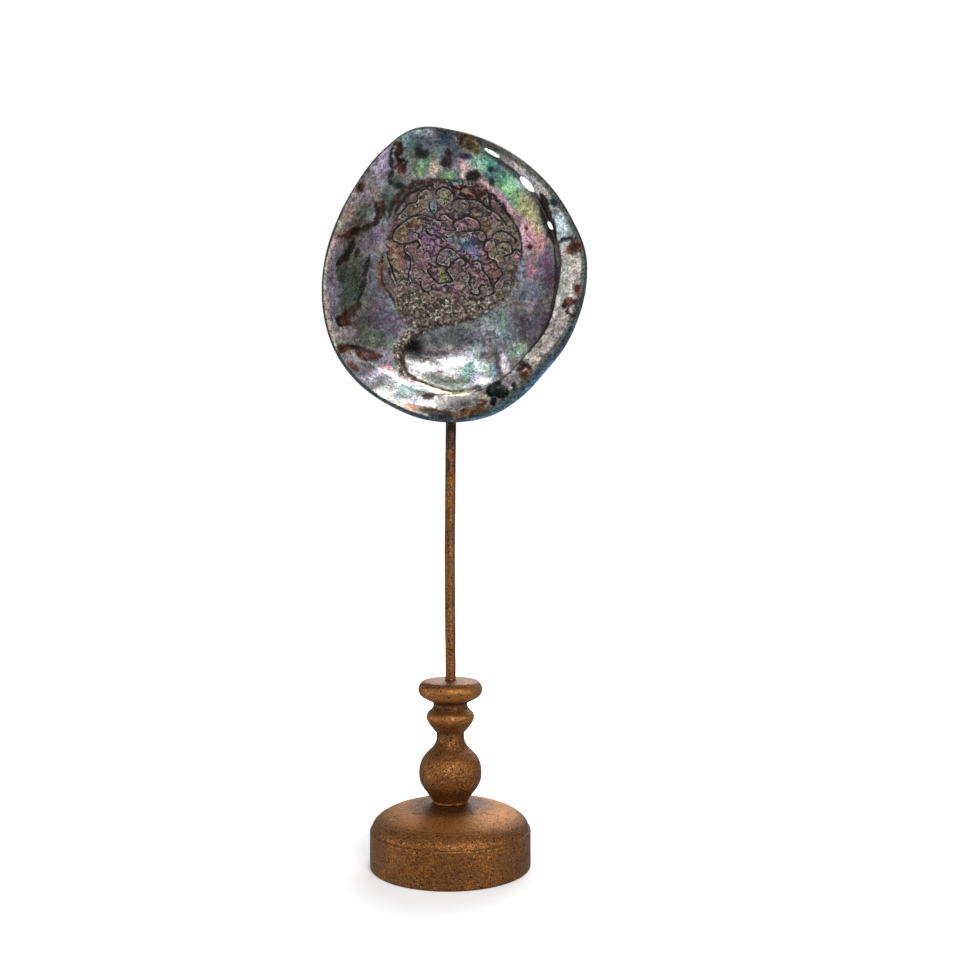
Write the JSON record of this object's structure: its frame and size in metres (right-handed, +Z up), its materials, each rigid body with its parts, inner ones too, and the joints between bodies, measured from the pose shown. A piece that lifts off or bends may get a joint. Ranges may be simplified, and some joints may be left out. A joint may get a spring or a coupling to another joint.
{
  "type": "abalone shell on a turned stand",
  "caption": "Polished abalone shell held upright on a slim metal rod, over a turned spindle and a domed round base, for display.",
  "frame": {"origin": "centre of the base's flat underside", "axes": "+Z up along the stand; the shell's hollow faces -Y; +X is to the right of someone looking into the hollow"},
  "size_m": [0.1238, 0.0766, 0.348],
  "materials": {
    "gilt_wood": "satin",
    "gilt_metal": "satin",
    "epoxy": "satin",
    "nacre": "polished"
  },
  "bodies": {
    "root": {"base": "gilt_wood", "spindle": "gilt_wood", "rod": "gilt_metal", "epoxy_pad": "epoxy", "shell": "nacre"}
  },
  "joints": []
}
